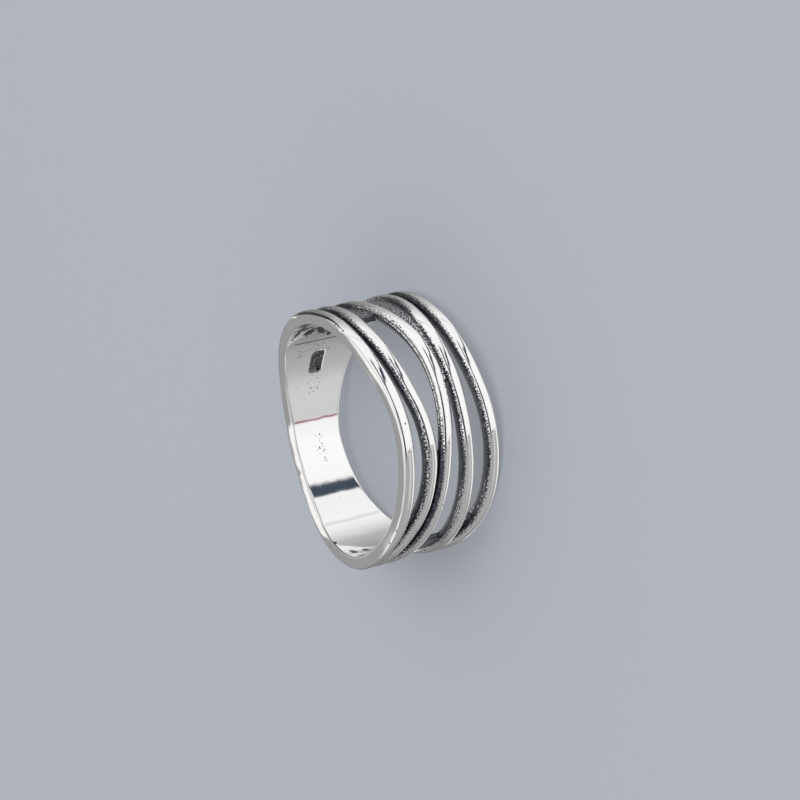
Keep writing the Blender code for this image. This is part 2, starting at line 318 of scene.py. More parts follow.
def foot_black(groove, angle):
    """The black at the foot of a flank: broken up where there is a web, solid where a slot goes through."""
    here = signed_angle(angle)
    through = groove.slot_bottom + SLOT_END_MARGIN_DEG < here < groove.slot_top - SLOT_END_MARGIN_DEG
    if through:
        return SOLID_BLACK
    return groove.top_black if here > groove.slot_top - SLOT_END_MARGIN_DEG else groove.bottom_black


# How strongly the upper side face is crowned, and how far it is tipped outwards, from 0 to 1
CROWNED = (
    Knot(-180, 0.3), Knot(-20, 0.0), Knot(-5, 0.4), Knot(8, 1.0), Knot(55, 1.0), Knot(75, 0.0),
    Knot(150, 0.0),
)
TIPPED = (
    Knot(-180, 1.0), Knot(-140, 1.0), Knot(-115, 0.0), Knot(-60, 0.0), Knot(60, 0.0), Knot(148, 0.0),
    Knot(168, 1.0),
)


def rim_points(outside, edge, middle, inward, angle):
    """From the inner bevel along the flat side face, over the small step (None for no step) to the crest."""
    step, slid, lift = 0.0, 0.0, 0.0
    side_crown = SIDE_CROWN * PLAIN_CROWN_SHARE
    if angle is not None:
        here = signed_angle(angle)
        step = step_share(angle)
        slid = smooth_step(1.0 - (here - STEP_BOTTOM_DEG) / STEP_SLIDE_DEG)
        lift = SIDE_LIFT * smooth_step(curve_at(TIPPED, angle))
        side_crown += (SIDE_CROWN - side_crown) * smooth_step(curve_at(CROWNED, angle))
    drop = STEP_DROP + (STEP_SLID_DROP - STEP_DROP) * slid
    side_end = outside - RIM_DROP - (drop - RIM_DROP) * step
    side_start = FINGER_RADIUS + INNER_BEVEL
    points = []
    for index in range(SIDE_STEPS + 1):
        share = index / SIDE_STEPS
        raised = side_crown * (2 * share - 1) ** 2 - lift * share
        points.append((side_start + (side_end - side_start) * share, edge + inward * raised, 0.0))
    plain_edge = edge + inward * (side_crown - lift)
    plain_steps = CREST_STEPS + FLANK_STEPS + 1
    plain = rounded_rise(outside - RIM_DROP, plain_edge, outside, middle, RIM_POWER, plain_steps)
    inset = STEP_INSET + (STEP_SLID_INSET - STEP_INSET) * slid
    inset += (STEP_END_INSET - STEP_INSET) * (1.0 - step)
    crease = edge + inward * inset
    stepped = [(side_end, edge + inward * inset * STEP_FOOT_SHARE), (side_end - STEP_CREASE, crease)]
    stepped += rounded_rise(side_end, crease, outside, middle, CREST_POWER, CREST_STEPS)
    for index, (plain_point, stepped_point) in enumerate(zip(plain[1:], stepped)):
        radius = plain_point[0] + (stepped_point[0] - plain_point[0]) * step
        height = plain_point[1] + (stepped_point[1] - plain_point[1]) * step
        black = CREASE_BLACK[index] if index < len(CREASE_BLACK) else 0.0
        points.append((radius, height, step * black))
    return points


def bevel_points(edge, inward):
    """The small rounding between the finger hole and a side face, without its two ends."""
    points = []
    for index in range(1, BEVEL_STEPS):
        turn = index / BEVEL_STEPS * pi / 2
        radius = FINGER_RADIUS + INNER_BEVEL * (1 - cos(turn))
        points.append((radius, edge + inward * INNER_BEVEL * (1 - sin(turn)), 0.0))
    return points


def section_outline(angle):
    """Closed outline of one section: the outside from the upper rim to the lower, then the inside."""
    depths = [groove_depth(groove, angle) for groove in GROOVES]
    fades = [groove_fade(groove, angle) for groove in GROOVES]
    rise = max(depths) / FULL_GROOVE_DEPTH
    outside = FINGER_RADIUS + SHANK_WALL + (BAR_DEPTH - SHANK_WALL) * rise
    edges = bar_edges(angle)
    last = len(edges) - 1
    outer = []
    inner = []
    for index, (upper, lower) in enumerate(edges):
        middle = (upper + lower) / 2
        if index == 0:
            above = rim_points(outside, upper, middle, -1, angle)
        else:
            reach = black_reach(BLACKENED[BARS[index].name], angle)
            foot = foot_black(GROOVES[index - 1], angle)
            above = flank_points(outside, upper, middle, depths[index - 1], fades[index - 1], reach, foot)
        if index == last:
            below = rim_points(outside, lower, middle, 1, None)
        else:
            foot = foot_black(GROOVES[index], angle)
            reach = black_reach(FAR_BLACKENED.get(BARS[index].name, FAR_BLACK), angle)
            below = flank_points(outside, lower, middle, depths[index], fades[index], reach, foot)
        points = above + [(outside, middle, 0.0)] + below[::-1]
        outer += [Station(*point, f"outer_{index}") for point in points]
        inset = min(BARS[index].inner_inset_mm * MM, INNER_INSET_SHARE * (upper - lower))
        support = min(INNER_SUPPORT, (upper - lower - 2 * inset) / 4)
        heights = (lower + inset, lower + inset + support, upper - inset - support, upper - inset)
        inner = [Station(FINGER_RADIUS, height, 0.0, f"inner_{index}") for height in heights] + inner
    lower_bevel = [Station(*point, "bevel") for point in bevel_points(edges[last][1], 1)[::-1]]
    upper_bevel = [Station(*point, "bevel") for point in bevel_points(edges[0][0], -1)]
    return outer + lower_bevel + inner + upper_bevel


def place(radius, angle, height):
    """A point of the ring, before it leans."""
    turn = radians(angle)
    return Vector((radius * sin(turn), -radius * cos(turn), height))


section_degrees = [index * 360.0 / SECTIONS - 180.0 for index in range(SECTIONS)]
outlines = [section_outline(angle) for angle in section_degrees]
COLUMNS = len(outlines[0])

bpy.ops.object.select_all(action="DESELECT")
bpy.ops.mesh.primitive_torus_add(
    major_radius=FINGER_RADIUS + SHANK_WALL / 2, minor_radius=SHANK_WALL / 2,
    major_segments=SECTIONS, minor_segments=COLUMNS,
)
ring = bpy.context.object
ring.name = "cast_ring"
ring.data.name = "cast_ring"

stain = ring.data.attributes.new("stain", "FLOAT", "POINT")
along = ring.data.attributes.new("along_mm", "FLOAT", "POINT")
across = ring.data.attributes.new("across_mm", "FLOAT", "POINT")
for section, angle in enumerate(section_degrees):
    walked = 0.0
    before = outlines[section][0]
    for column, station in enumerate(outlines[section]):
        vertex = section * COLUMNS + column
        ring.data.vertices[vertex].co = place(station.radius, angle, station.height)
        walked += Vector((station.radius - before.radius, station.height - before.height)).length / MM
        before = station
        stain.data[vertex].value = station.stain
        along.data[vertex].value = radians(angle) * (FINGER_RADIUS + SHANK_WALL) / MM
        across.data[vertex].value = walked


def grid_place(vertex):
    return vertex // COLUMNS, vertex % COLUMNS


def face_cell(polygon):
    """Section and column where a face of the torus starts."""
    sections, columns = zip(*(grid_place(vertex) for vertex in polygon.vertices))
    section = min(sections) if max(sections) - min(sections) == 1 else max(sections)
    column = min(columns) if max(columns) - min(columns) == 1 else max(columns)
    return section, column


def column_of(name, which):
    """The first (0) or last (-1) column of that name in the outlines."""
    return [index for index, station in enumerate(outlines[0]) if station.column == name][which]


# The slots. Between the bars the casting is cut right through: the web between two flanks and the face
# under it come out, and the walls that join the two rims of each hole are bridged. Both ends stay black.
slot_cells = {}
for index, groove in enumerate(GROOVES):
    floor = column_of(f"outer_{index}", -1)
    ceiling = column_of(f"inner_{index + 1}", -1)
    first = round((groove.slot_bottom + 180.0) * SECTIONS / 360.0)
    final = round((groove.slot_top + 180.0) * SECTIONS / 360.0)
    for section in range(first, final):
        slot_cells[(section, floor)] = index
        slot_cells[(section, ceiling)] = index
    for section in (first, final):
        stain.data[section * COLUMNS + ceiling].value = SOLID_BLACK
        stain.data[section * COLUMNS + ceiling + 1].value = SOLID_BLACK
for polygon in ring.data.polygons:
    polygon.select = face_cell(polygon) in slot_cells
for edge in ring.data.edges:
    edge.select = False
for vertex in ring.data.vertices:
    vertex.select = False
rim_vertices = [set() for groove in GROOVES]
for polygon in ring.data.polygons:
    if polygon.select:
        rim_vertices[slot_cells[face_cell(polygon)]].update(polygon.vertices)
bpy.context.tool_settings.mesh_select_mode = (False, False, True)
bpy.ops.object.mode_set(mode="EDIT")
bpy.ops.mesh.delete(type="ONLY_FACE")
bpy.ops.object.mode_set(mode="OBJECT")
face_count = {}
for polygon in ring.data.polygons:
    for key in polygon.edge_keys:
        face_count[key] = face_count.get(key, 0) + 1
for vertices in rim_vertices:
    for polygon in ring.data.polygons:
        polygon.select = False
    for vertex in ring.data.vertices:
        vertex.select = False
    for edge in ring.data.edges:
        on_rim = all(vertex in vertices for vertex in edge.vertices)
        edge.select = on_rim and face_count.get(edge.key, 0) == 1
    bpy.context.tool_settings.mesh_select_mode = (False, True, False)
    bpy.ops.object.mode_set(mode="EDIT")
    bpy.ops.mesh.bridge_edge_loops()
    bpy.ops.object.mode_set(mode="OBJECT")

# The inner edges of the slots are softened, as a polishing buff leaves them
inner_edges = {key for key, count in face_count.items() if count == 1}
for edge in ring.data.edges:
    on_inside = all(
        outlines[grid_place(vertex)[0]][grid_place(vertex)[1]].column.startswith("inner")
        for vertex in edge.vertices
    )
    edge.select = edge.key in inner_edges and on_inside
bpy.context.tool_settings.mesh_select_mode = (False, True, False)
bpy.ops.object.mode_set(mode="EDIT")
bpy.ops.mesh.bevel(offset=SLOT_EDGE_BEVEL, segments=2, profile=0.5, clamp_overlap=True)
bpy.ops.mesh.select_all(action="SELECT")
bpy.ops.mesh.normals_make_consistent(inside=False)
bpy.ops.object.mode_set(mode="OBJECT")

# The punched panel inside the shank. It is pressed into the silver with a plain rounded punch before the
# ring is blackened, and its floor stays black because no buff reaches it.
PANEL_ANGLE = 135.6
PANEL_HEIGHT = 0.03 * MM
PANEL_LENGTH = 2.04 * MM
PANEL_WIDTH = 1.10 * MM
PANEL_DEPTH = 0.14 * MM
PANEL_CORNER = 0.30 * MM
PANEL_CORNER_SEGMENTS = 5
PUNCH_REACH = 1.0 * MM

punch_middle = place(FINGER_RADIUS + (PANEL_DEPTH - PUNCH_REACH) / 2, PANEL_ANGLE, PANEL_HEIGHT)
bpy.ops.object.select_all(action="DESELECT")
bpy.ops.mesh.primitive_cube_add(size=1.0)
punch = bpy.context.object
punch.name = "panel_punch"
punch.scale = (PANEL_LENGTH, PUNCH_REACH + PANEL_DEPTH, PANEL_WIDTH)
bpy.ops.object.transform_apply(location=False, rotation=False, scale=True)
for vertex in punch.data.vertices:
    vertex.select = False
for polygon in punch.data.polygons:
    polygon.select = False
for edge in punch.data.edges:
    ends = [punch.data.vertices[vertex].co for vertex in edge.vertices]
    edge.select = abs(ends[0].y - ends[1].y) > PANEL_DEPTH
bpy.ops.object.mode_set(mode="EDIT")
bpy.ops.mesh.bevel(offset=PANEL_CORNER, segments=PANEL_CORNER_SEGMENTS, profile=0.5)
bpy.ops.object.mode_set(mode="OBJECT")
punch.data.transform(Matrix.Translation(punch_middle) @ Matrix.Rotation(radians(PANEL_ANGLE), 4, "Z"))

bpy.ops.object.select_all(action="DESELECT")
ring.select_set(True)
bpy.context.view_layer.objects.active = ring
cut = ring.modifiers.new("punched_panel", "BOOLEAN")
cut.operation = "DIFFERENCE"
cut.solver = "EXACT"
cut.object = punch
bpy.ops.object.modifier_apply(modifier=cut.name)
bpy.data.objects.remove(punch, do_unlink=True)

# Its floor is told from its walls by how deep it lies
PANEL_FLOOR_SHARE = 0.6
PANEL_SPAN_DEG = 8.0
panel_floor = []
for polygon in ring.data.polygons:
    reach = Vector((polygon.center.x, polygon.center.y)).length - FINGER_RADIUS
    angle = degrees(atan2(polygon.center.x, -polygon.center.y))
    deep = PANEL_FLOOR_SHARE * PANEL_DEPTH < reach < SHANK_WALL / 2
    in_length = abs(angle - PANEL_ANGLE) < PANEL_SPAN_DEG
    in_width = abs(polygon.center.z - PANEL_HEIGHT) < PANEL_WIDTH / 2
    if deep and in_length and in_width:
        panel_floor.append(polygon.index)

# The ring leans on the three low points of its wavy lower rim, and stands over the origin
lean_angles = (radians(LEAN_ABOUT_X_DEG), radians(LEAN_ABOUT_Y_DEG), 0.0)
lean = Euler(lean_angles).to_matrix().to_4x4()
ring.data.transform(lean)
low = Vector([min(vertex.co[axis] for vertex in ring.data.vertices) for axis in range(3)])
high = Vector([max(vertex.co[axis] for vertex in ring.data.vertices) for axis in range(3)])
seat = (cad_low + cad_high) / 2 - (low + high) / 2
seat.z = cad_low.z - low.z
ring.data.transform(Matrix.Translation(seat))
bpy.ops.object.shade_smooth_by_angle(angle=radians(SMOOTH_UNDER_DEG))


# The finish. The casting is dipped to blacken it all over, then buffed bright wherever a buff can reach.
# Black stays on the flanks and webs, breaks up into specks at the shoulders of the bars, and lies in the
# pits of the casting and on the floor of the punched panel.
def new_material(name):
    material = bpy.data.materials.new(name)
    material.use_nodes = True
    return material, material.node_tree


def new_group(name, inputs, outputs):
    """A shader node group with those sockets; gives it with its input and output nodes."""
    group = bpy.data.node_groups.new(name, "ShaderNodeTree")
    for socket_name, kind in inputs:
        group.interface.new_socket(socket_name, in_out="INPUT", socket_type=kind)
    for socket_name, kind in outputs:
        group.interface.new_socket(socket_name, in_out="OUTPUT", socket_type=kind)
    return group, group.nodes.new("NodeGroupInput"), group.nodes.new("NodeGroupOutput")


def place_group(tree, group):
    node = tree.nodes.new("ShaderNodeGroup")
    node.node_tree = group
    return node


def feed(tree, socket, value):
    """Links a socket to another, or sets it to a plain value."""
    if isinstance(value, bpy.types.NodeSocket):
        tree.links.new(value, socket)
    else:
        socket.default_value = value


def calculate(tree, operation, *values):
    node = tree.nodes.new("ShaderNodeMath")
    node.operation = operation
    for socket, value in zip(node.inputs, values):
        feed(tree, socket, value)
    return node.outputs[0]


def calculate_vector(tree, operation, *values):
    node = tree.nodes.new("ShaderNodeVectorMath")
    node.operation = operation
    for socket, value in zip(node.inputs, values):
        feed(tree, socket, value)
    return node.outputs["Value"] if operation in ("DOT_PRODUCT", "DISTANCE") else node.outputs["Vector"]


def ease(tree, value, zero_at, one_at):
    """Rises smoothly from 0 at the first limit to 1 at the second."""
    node = tree.nodes.new("ShaderNodeMapRange")
    node.interpolation_type = "SMOOTHSTEP"
    feed(tree, node.inputs["Value"], value)
    node.inputs["From Min"].default_value = zero_at
    node.inputs["From Max"].default_value = one_at
    return node.outputs["Result"]


def band(tree, value, middle, half, soft):
    """1 within a band and 0 outside it, with soft edges."""
    away = calculate(tree, "ABSOLUTE", calculate(tree, "SUBTRACT", value, middle))
    return ease(tree, away, zero_at=half + soft, one_at=half)


def blend(tree, share, first, second):
    node = tree.nodes.new("ShaderNodeMix")
    node.data_type = "RGBA"
    for socket, value in zip((node.inputs[0], node.inputs[6], node.inputs[7]), (share, first, second)):
        feed(tree, socket, value)
    return node.outputs[2]


def noise(tree, vector, scale, detail):
    node = tree.nodes.new("ShaderNodeTexNoise")
    feed(tree, node.inputs["Vector"], vector)
    node.inputs["Scale"].default_value = scale
    node.inputs["Detail"].default_value = detail
    return node.outputs["Fac"]


def attribute(tree, name):
    node = tree.nodes.new("ShaderNodeAttribute")
    node.attribute_name = name
    return node.outputs["Fac"]


def bump(tree, shader, height):
    """Turns a height in millimetres into the relief of the shader's surface."""
    node = tree.nodes.new("ShaderNodeBump")
    node.inputs["Distance"].default_value = MM
    tree.links.new(height, node.inputs["Height"])
    tree.links.new(node.outputs["Normal"], shader.inputs["Normal"])


def turn_upright(tree, vector):
    """Undoes the lean of the ring, so that Z runs along the finger hole."""
    node = tree.nodes.new("ShaderNodeVectorRotate")
    node.rotation_type = "EULER_XYZ"
    node.invert = True
    node.inputs["Rotation"].default_value = lean_angles
    feed(tree, node.inputs["Vector"], vector)
    return node.outputs["Vector"]


def polar(tree, vector):
    """Angle round the hole in degrees, distance from its axis and height along it."""
    split = tree.nodes.new("ShaderNodeSeparateXYZ")
    tree.links.new(vector, split.inputs[0])
    x, y, z = split.outputs
    angle = calculate(tree, "DEGREES", calculate(tree, "ARCTAN2", x, calculate(tree, "MULTIPLY", y, -1.0)))
    squares = calculate(tree, "ADD", calculate(tree, "MULTIPLY", x, x), calculate(tree, "MULTIPLY", y, y))
    return angle, calculate(tree, "SQRT", squares), z


# Where a point lies on the ring, in degrees and millimetres
ring_place, _, result = new_group(
    "ring_place", (), (("Place", "NodeSocketVector"), ("Angle", "NodeSocketFloat"),
                       ("Radius", "NodeSocketFloat"), ("Height", "NodeSocketFloat")),
)
spot = ring_place.nodes.new("ShaderNodeTexCoord").outputs["Object"]
spot = calculate_vector(ring_place, "SUBTRACT", spot, seat)
spot = calculate_vector(ring_place, "MULTIPLY", spot, (1.0 / MM, 1.0 / MM, 1.0 / MM))
spot = turn_upright(ring_place, spot)
angle, radius, height = polar(ring_place, spot)
for name, socket in (("Place", spot), ("Angle", angle), ("Radius", radius), ("Height", height)):
    ring_place.links.new(socket, result.inputs[name])

# The black that the buff leaves: its grain breaks it up where it thins out, and it is lighter in clouds
BLACK_DEEP = (0.055, 0.062, 0.082, 1.0)
BLACK_WORN = (0.150, 0.155, 0.180, 1.0)
GRAIN_SWING = 4.4
GRAIN_HEIGHT_MM = 0.014
BARE_BELOW = 0.40
BLACK_ABOVE = 0.56
black_remains, entry, result = new_group(
    "black_remains", (("Vector", "NodeSocketVector"), ("Black", "NodeSocketFloat")),
    (("Mask", "NodeSocketFloat"), ("Color", "NodeSocketColor"), ("Height", "NodeSocketFloat")),
)
grain = noise(black_remains, entry.outputs["Vector"], scale=1.0, detail=3.5)
cloud = noise(black_remains, entry.outputs["Vector"], scale=0.6, detail=1.0)
spread = calculate(black_remains, "MULTIPLY_ADD", grain, GRAIN_SWING, -GRAIN_SWING / 2)
total = calculate(black_remains, "ADD", spread, entry.outputs["Black"])
broken = ease(black_remains, total, zero_at=BARE_BELOW, one_at=BLACK_ABOVE)
any_black = ease(black_remains, entry.outputs["Black"], zero_at=0.0, one_at=0.1)
broken = calculate(black_remains, "MULTIPLY", broken, any_black)
black_remains.links.new(broken, result.inputs["Mask"])
worn = ease(black_remains, cloud, zero_at=0.35, one_at=0.65)
black_remains.links.new(blend(black_remains, worn, BLACK_DEEP, BLACK_WORN), result.inputs["Color"])
grain_height = calculate(black_remains, "MULTIPLY", grain, GRAIN_HEIGHT_MM)
black_remains.links.new(grain_height, result.inputs["Height"])

# Buffed silver, on all of the casting but the panel's floor. The inside of the shank is told by its radius.
SILVER_COLOR = (0.945, 0.937, 0.935, 1.0)
MARK_COLOR = (0.082, 0.080, 0.086, 1.0)
BUFFED_ROUGHNESS = 0.07
DULL_ROUGHNESS = 0.41
SPECK_ALONG_MM = 0.10
SPECK_ACROSS_MM = 0.15
INSIDE_FROM_MM = FINGER_RADIUS / MM + 0.05
INSIDE_FULL_MM = FINGER_RADIUS / MM + 0.02
silver, tree = new_material("polished_silver")
shader = tree.nodes["Principled BSDF"]
shader.inputs["Metallic"].default_value = 1.0
place_node = place_group(tree, ring_place)
angle, height = place_node.outputs["Angle"], place_node.outputs["Height"]
full_turn = calculate(tree, "FLOORED_MODULO", angle, 360.0)
inside = ease(tree, place_node.outputs["Radius"], zero_at=INSIDE_FROM_MM, one_at=INSIDE_FULL_MM)
surface = tree.nodes.new("ShaderNodeCombineXYZ")
along_specks = calculate(tree, "MULTIPLY", attribute(tree, "along_mm"), 1.0 / SPECK_ALONG_MM)
across_specks = calculate(tree, "MULTIPLY", attribute(tree, "across_mm"), 1.0 / SPECK_ACROSS_MM)
feed(tree, surface.inputs["X"], along_specks)
feed(tree, surface.inputs["Y"], across_specks)
black = place_group(tree, black_remains)
tree.links.new(surface.outputs[0], black.inputs["Vector"])
tree.links.new(attribute(tree, "stain"), black.inputs["Black"])

# A hair-thin joint line across the shank
JOINT_ANGLE = 120.2
JOINT_MIDDLE_MM = 0.7
JOINT_HALF_MM = 1.75
joint = calculate(tree, "MULTIPLY", band(tree, angle, middle=JOINT_ANGLE, half=0.18, soft=0.40),
                  band(tree, height, middle=JOINT_MIDDLE_MM, half=JOINT_HALF_MM, soft=0.3))

# Clusters of casting pits: near the joint line, beside the panel, at the back and past it
Pits = namedtuple("Pits", "angle height_mm half_span half_height_mm amount")
PIT_CLUSTERS = (
    Pits(128.0, 0.8, 9.0, 2.2, 0.17), Pits(149.0, 0.3, 9.0, 1.5, 0.165), Pits(182.0, -0.08, 12.0, 0.6, 0.19),
    Pits(205.0, 0.2, 9.0, 1.2, 0.13),
)
# Larger blotches where the shank opens into the bars, with ragged edges
RAGGED_SWING = 4.0
RAGGED_SHIFT = -2.1
BLOTCHES = (
    Pits(107.0, 3.02, 9.0, 0.22, 1.0), Pits(109.0, 1.95, 4.6, 0.50, 1.0), Pits(107.5, 1.25, 4.4, 0.55, 1.0),
    Pits(112.0, 0.80, 2.6, 0.34, 1.0), Pits(113.6, 0.30, 2.2, 0.20, 1.0), Pits(115.6, -0.16, 1.6, 0.26, 1.0),
    Pits(239.5, 3.02, 1.6, 0.20, 1.0), Pits(254.5, 2.80, 3.4, 0.22, 1.0), Pits(257.0, 1.95, 3.0, 0.24, 1.0),
)


def cluster_sum(tree, clusters, edge_noise):
    """The amounts of the clusters that a point lies in, each with its edge broken up by the noise."""
    total = None
    for cluster in clusters:
        along = calculate(tree, "SUBTRACT", full_turn, cluster.angle)
        along = calculate(tree, "DIVIDE", along, cluster.half_span)
        up = calculate(tree, "SUBTRACT", height, cluster.height_mm)
        up = calculate(tree, "DIVIDE", up, cluster.half_height_mm)
        squares = calculate(tree, "ADD", calculate(tree, "MULTIPLY", along, along),
                            calculate(tree, "MULTIPLY", up, up))
        if edge_noise is not None:
            squares = calculate(tree, "ADD", squares, edge_noise)
        share = calculate(tree, "MULTIPLY", ease(tree, squares, zero_at=1.0, one_at=0.3), cluster.amount)
        total = share if total is None else calculate(tree, "ADD", total, share)
    return total


pitted = cluster_sum(tree, PIT_CLUSTERS, None)
ragged = noise(tree, place_node.outputs["Place"], scale=3.2, detail=2.0)
ragged = calculate(tree, "MULTIPLY_ADD", ragged, RAGGED_SWING, RAGGED_SHIFT)
blotched = ease(tree, cluster_sum(tree, BLOTCHES, ragged), zero_at=0.25, one_at=0.75)
pit_noise = noise(tree, place_node.outputs["Place"], scale=6.0, detail=1.5)
pits = ease(tree, calculate(tree, "ADD", pit_noise, pitted), zero_at=0.80, one_at=0.86)
marks = calculate(tree, "MAXIMUM", calculate(tree, "MAXIMUM", joint, pits), blotched)
marks = calculate(tree, "MULTIPLY", marks, inside)

# Single pits on the side face and the crests
Pit = namedtuple("Pit", "angle radius_mm height_mm size_mm")
SINGLE_PITS = (
    Pit(57.6, 9.42, 4.38, 0.12), Pit(51.3, 9.56, 4.38, 0.10), Pit(0.4, 9.65, 3.29, 0.09),
    Pit(-49.3, 9.50, 3.91, 0.09), Pit(-57.8, 9.46, 3.98, 0.10), Pit(-53.1, 9.62, 2.03, 0.13),
    Pit(-40.2, 9.62, 0.37, 0.11),
)
for pit in SINGLE_PITS:
    spot = place(pit.radius_mm, pit.angle, pit.height_mm)
    away = calculate_vector(tree, "DISTANCE", place_node.outputs["Place"], spot)
    in_pit = ease(tree, away, zero_at=pit.size_mm, one_at=0.4 * pit.size_mm)
    marks = calculate(tree, "MAXIMUM", marks, in_pit)

# The thin burr that the punch threw up round the panel
BURR_MM = 0.12
degrees_to_mm = radians(1.0) * FINGER_RADIUS / MM
off_along = calculate(tree, "MULTIPLY", calculate(tree, "SUBTRACT", full_turn, PANEL_ANGLE), degrees_to_mm)
off_along = calculate(tree, "ABSOLUTE", off_along)
off_along = calculate(tree, "SUBTRACT", off_along, (PANEL_LENGTH / 2 - PANEL_CORNER) / MM)
off_up = calculate(tree, "ABSOLUTE", calculate(tree, "SUBTRACT", height, PANEL_HEIGHT / MM))
off_up = calculate(tree, "SUBTRACT", off_up, (PANEL_WIDTH / 2 - PANEL_CORNER) / MM)
corner = [calculate(tree, "MAXIMUM", off, 0.0) for off in (off_along, off_up)]
corner = [calculate(tree, "MULTIPLY", off, off) for off in corner]
from_panel = calculate(tree, "SQRT", calculate(tree, "ADD", *corner))
from_panel = calculate(tree, "SUBTRACT", from_panel, PANEL_CORNER / MM)
burr = calculate(tree, "MULTIPLY", ease(tree, from_panel, zero_at=BURR_MM, one_at=0.0), inside)

colour = blend(tree, black.outputs["Mask"], SILVER_COLOR, black.outputs["Color"])
colour = blend(tree, marks, colour, MARK_COLOR)
tree.links.new(colour, shader.inputs["Base Color"])
dull = calculate(tree, "MAXIMUM", black.outputs["Mask"], marks)
dull = calculate(tree, "MULTIPLY_ADD", dull, DULL_ROUGHNESS - BUFFED_ROUGHNESS, BUFFED_ROUGHNESS)
tree.links.new(dull, shader.inputs["Roughness"])

# The buff leaves long shallow waves and fine lines round the ring
LINE_STRETCH = (0.5, 0.5, 9.0)
LINE_DEPTH_MM = 0.0014
WAVE_DEPTH_MM = 0.010
MARK_DEPTH_MM = 0.010
BURR_HEIGHT_MM = 0.045
stretched = calculate_vector(tree, "MULTIPLY", place_node.outputs["Place"], LINE_STRETCH)
lines = calculate(tree, "MULTIPLY", noise(tree, stretched, scale=1.0, detail=2.0), LINE_DEPTH_MM)
waves = noise(tree, place_node.outputs["Place"], scale=0.9, detail=0.0)
waves = calculate(tree, "MULTIPLY", waves, WAVE_DEPTH_MM)
relief = calculate(tree, "ADD", lines, waves)
black_relief = calculate(tree, "MULTIPLY", black.outputs["Mask"], black.outputs["Height"])
relief = calculate(tree, "ADD", relief, black_relief)
relief = calculate(tree, "SUBTRACT", relief, calculate(tree, "MULTIPLY", marks, MARK_DEPTH_MM))
relief = calculate(tree, "ADD", relief, calculate(tree, "MULTIPLY", burr, BURR_HEIGHT_MM))
bump(tree, shader, relief)

# The floor of the panel, black but for a few worn spots
FLOOR_WORN = (0.42, 0.41, 0.41, 1.0)
FLOOR_BLACK = (0.115, 0.110, 0.118, 1.0)
FLOOR_GRAIN = (8.0, 8.0, 8.0)
FLOOR_ROUGHNESS = 0.42
FLOOR_BLACKNESS = 0.80
floor_black, tree = new_material("blackened_silver")
shader = tree.nodes["Principled BSDF"]
shader.inputs["Metallic"].default_value = 1.0
shader.inputs["Roughness"].default_value = FLOOR_ROUGHNESS
place_node = place_group(tree, ring_place)
black = place_group(tree, black_remains)
grained = calculate_vector(tree, "MULTIPLY", place_node.outputs["Place"], FLOOR_GRAIN)
tree.links.new(grained, black.inputs["Vector"])
black.inputs["Black"].default_value = FLOOR_BLACKNESS
colour = blend(tree, black.outputs["Mask"], FLOOR_WORN, FLOOR_BLACK)
tree.links.new(colour, shader.inputs["Base Color"])
bump(tree, shader, black.outputs["Height"])

ring.data.materials.clear()
ring.data.materials.append(silver)
ring.data.materials.append(floor_black)
for index in panel_floor:
    ring.data.polygons[index].material_index = 1
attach(ring, "root")
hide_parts("crossover_ring")


# The stage. The ring lies on a plain pale table under one broad soft lamp. Neither shows in the metal, which
# mirrors the light tent below.
TABLE_SIZE = 3.0
TABLE_COLOR = (0.54, 0.565, 0.62, 1.0)
TABLE_ROUGHNESS = 0.9
bpy.ops.object.select_all(action="DESELECT")
bpy.ops.mesh.primitive_plane_add(size=TABLE_SIZE)
table = bpy.context.object
table.name = "table"
table.visible_glossy = False
paint, tree = new_material("pale_table")
shader = tree.nodes["Principled BSDF"]
shader.inputs["Base Color"].default_value = TABLE_COLOR
shader.inputs["Roughness"].default_value = TABLE_ROUGHNESS
table.data.materials.append(paint)

LAMP_PLACE = Vector((0.10, -0.12, 0.40))
LAMP_SIZE = 0.30
LAMP_WATTS = 0.25
bpy.ops.object.light_add(type="AREA", location=LAMP_PLACE)
lamp = bpy.context.object
lamp.name = "soft_lamp"
lamp.data.shape = "DISK"
lamp.data.size = LAMP_SIZE
lamp.data.energy = LAMP_WATTS
lamp.visible_glossy = False
lamp.rotation_euler = LAMP_PLACE.to_track_quat("Z", "Y").to_euler()

# The camera looks at the front bars and over the upper rim, at the photograph's angle to the ring. Its angles
# are in the ring's own frame, so it leans and is seated as the ring is.
CAMERA_ELEVATION = 31.32
CAMERA_ROLL = -102.97
CAMERA_DISTANCE = 220.0 * MM
CAMERA_OFFSET = (1.764 * MM, 2.221 * MM)
tilt = Matrix.Rotation(radians(90.0 - CAMERA_ELEVATION), 4, "X")
look = tilt @ Matrix.Rotation(radians(CAMERA_ROLL), 4, "Z")
stand = Matrix.Translation(look @ Vector((*CAMERA_OFFSET, CAMERA_DISTANCE)))
bpy.ops.object.camera_add()
camera = bpy.context.object
camera.name = "camera"
camera.data.lens = 135.0
camera.data.sensor_width = 36.0
camera.data.clip_start = 0.01
camera.data.clip_end = 20.0
camera.matrix_world = Matrix.Translation(seat) @ lean @ stand @ look
bpy.context.scene.camera = camera

